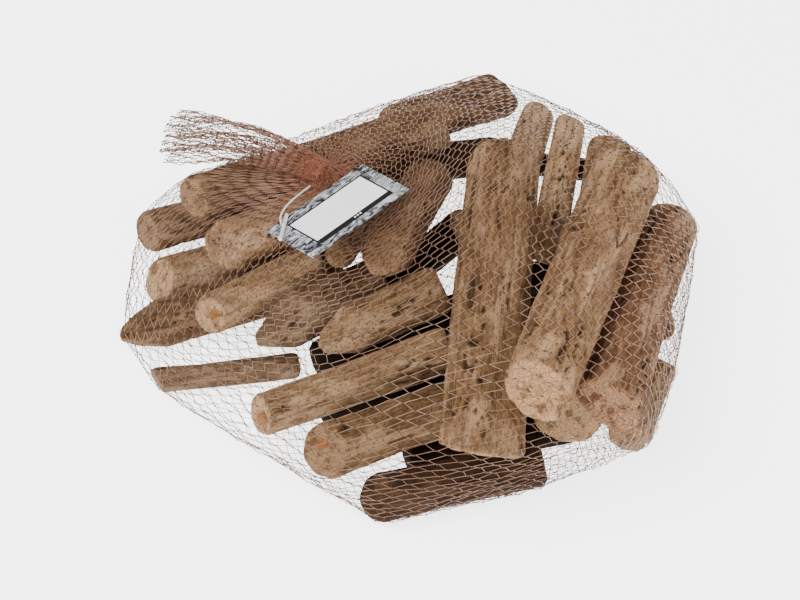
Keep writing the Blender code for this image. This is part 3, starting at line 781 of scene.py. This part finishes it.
def make_net(surface):
    coarse = np.concatenate([node_points(nodes[n])[0] for n in nodes if n.endswith("_stick")])
    box_middle = (coarse.min(0) + coarse.max(0)) / 2
    pole = unit(NECK - box_middle)
    first = unit(np.cross(pole, [0.0, 0.0, 1.0]))
    second = np.cross(pole, first)
    bag = bag_rows(rounded_hull(coarse), box_middle, pole, first, second)
    neck = []
    for row in range(NECK_ROWS):
        turns = column_shares(ROWS + 1 + row, COLUMNS) * math.tau
        neck.append(tail_row(NECK_SHARE * row / NECK_ROWS, turns, first, second))
    tail = []
    for row in range(TAIL_ROWS + 1):
        turns = column_shares(row, TAIL_COLUMNS) * math.tau
        tail.append(tail_row(row / TAIL_ROWS, turns, first, second))
    faces = []
    start = 0
    for own_points, own_faces in surface:
        faces += [[start + i for i in face] for face in own_faces]
        start += len(own_points)
    wood_tree = BVHTree.FromPolygons(np.concatenate([p for p, _ in surface]).tolist(), faces)
    rows = np.concatenate([bag, neck]).reshape(-1, 3)
    held = np.zeros(len(rows), bool)
    held[:COLUMNS] = True
    held[-NECK_ROWS * COLUMNS :] = True
    rng = np.random.default_rng(NET_SEED)
    rows = scattered(relaxed(rows, held, wood_tree), rng)
    finish = net_plastic()
    for number, band in enumerate(np.array_split(np.arange(len(rows) // COLUMNS), NET_PIECES)):
        add_net_piece(f"fine_net_{number}", rows, COLUMNS, band, STRAND, finish, rng)
    tail = scattered(np.concatenate(tail), rng)
    band = np.arange(TAIL_ROWS + 1)
    add_net_piece("fine_net_tail", tail, TAIL_COLUMNS, band, TAIL_STRAND, finish, rng)


def tag_frame():
    """The tag's own axes, with its middle from the frame."""
    length = unit(np.array([math.cos(TAG_TURN), math.sin(TAG_TURN), -math.tan(TAG_DIP)]))
    width = np.array([-math.sin(TAG_TURN), math.cos(TAG_TURN), -math.tan(TAG_LEAN)])
    width = unit(width - length * np.dot(width, length))
    up = np.cross(length, width)
    low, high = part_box("tag")
    centre = (np.array(low) + np.array(high)) / 2
    return Matrix.Translation(Vector(centre)) @ Matrix([length, width, up]).transposed().to_4x4()


def card():
    """Printed card: a mottled grey border, a blank white panel in a thin line, and a dark bar."""
    shader = Shader("card")
    own = shader.node("ShaderNodeTexCoord")
    split = shader.node("ShaderNodeSeparateXYZ")
    shader.link(own.outputs["Object"], split.inputs["Vector"])
    across = shader.math("MULTIPLY", split.outputs["X"], 1000.0)
    up = shader.math("MULTIPLY", split.outputs["Y"], 1000.0)

    def depth_in(place, middle, half):
        away = shader.math("ABSOLUTE", shader.math("SUBTRACT", place, middle))
        return shader.math("SUBTRACT", half, away)

    def printed(rectangle, under, ink):
        x, y, half_x, half_y = rectangle
        depth = shader.math("MINIMUM", depth_in(across, x, half_x), depth_in(up, y, half_y))
        return shader.mix(shader.steps(depth, -PRINT_EDGE, PRINT_EDGE), under, ink)

    bark = shader.noise(*BARK_PRINT)
    patch = shader.noise(*PATCH_PRINT)
    colour = shader.ramp(bark, BORDER)
    colour = shader.mix(shader.steps(patch, 0.48, 0.64, 0.0, 0.4), colour, BORDER_PALE)
    colour = printed(OUTLINE, colour, INK)
    colour = printed(PANEL, colour, PAPER)
    colour = printed(BAR, colour, INK)
    for dot in DOTS:
        colour = printed(dot, colour, DOT_WHITE)
    shader.link(colour, shader.bsdf.inputs["Base Color"])
    shader.bump(shader.noise((0.5, 0.5, 0.5), 4.0), 0.0001)
    shader.set(Roughness=0.6, Specular_IOR_Level=0.15)
    return shader.material


def make_tag():
    matrix = tag_frame()
    node = nodes["tag"]
    mesh = node.data.copy()
    mesh.transform(matrix.inverted())
    mesh.materials.clear()
    mesh.materials.append(card())
    tag = bpy.data.objects.new("printed_tag", mesh)
    bpy.context.scene.collection.objects.link(tag)
    tag.matrix_world = matrix
    rounding = tag.modifiers.new("worn edges", "BEVEL")
    rounding.width = WORN_EDGE * MM
    rounding.segments = 2
    rounding.limit_method = "ANGLE"
    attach(tag, "root")
    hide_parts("tag")


def finish_pin():
    shader = Shader("pin_plastic")
    haze = shader.noise((0.2, 0.2, 0.2), 3.0)
    colour = shader.mix(haze, *PIN_TINTS)
    shader.link(colour, shader.bsdf.inputs["Base Color"])
    shader.set(Roughness=0.22, Transmission_Weight=0.45, IOR=1.46)
    pin = nodes["tag_pin"]
    for slot in pin.material_slots:
        slot.material = shader.material


def add_stage():
    floor = bpy.data.meshes.new("floor")
    corners = [(x * FLOOR_REACH, y * FLOOR_REACH, 0) for x, y in ((-1, -1), (1, -1), (1, 1), (-1, 1))]
    floor.from_pydata(corners, [], [(0, 1, 2, 3)])
    shader = Shader("floor")
    shader.set(Base_Color=(0.93, 0.93, 0.93, 1.0), Roughness=0.9, Specular_IOR_Level=0.0)
    shader.set(Emission_Color=(1.0, 1.0, 1.0, 1.0), Emission_Strength=FLOOR_GLOW)
    floor.materials.append(shader.material)
    ground = bpy.data.objects.new("floor", floor)
    bpy.context.scene.collection.objects.link(ground)
    world = bpy.data.worlds.new("studio")
    bpy.context.scene.world = world
    world.use_nodes = True
    background = world.node_tree.nodes["Background"]
    background.inputs["Color"].default_value = (1.0, 1.0, 1.0, 1.0)
    background.inputs["Strength"].default_value = SKY_GLOW
    for name, (place, power) in LIGHTS.items():
        add_light(name, place, power)


def add_light(name, place, power):
    data = bpy.data.lights.new(name, "AREA")
    data.size = LIGHT_SIZE
    data.energy = power
    light = bpy.data.objects.new(name, data)
    bpy.context.scene.collection.objects.link(light)
    light.location = place
    light.rotation_euler = (-Vector(place)).to_track_quat("-Z", "Y").to_euler()


def main():
    add_camera()
    slots = {s["node"]: s["material_slot"] for s in frame["record"]["subparts"]}
    surface = []
    for number, name in enumerate(sorted(n for n in nodes if n.endswith("_stick"))):
        surface.append(make_stick(name, slots[name], FIRST_SEED + SEED_STEP * number))
    make_net(surface)
    make_tag()
    finish_pin()
    add_stage()


main()
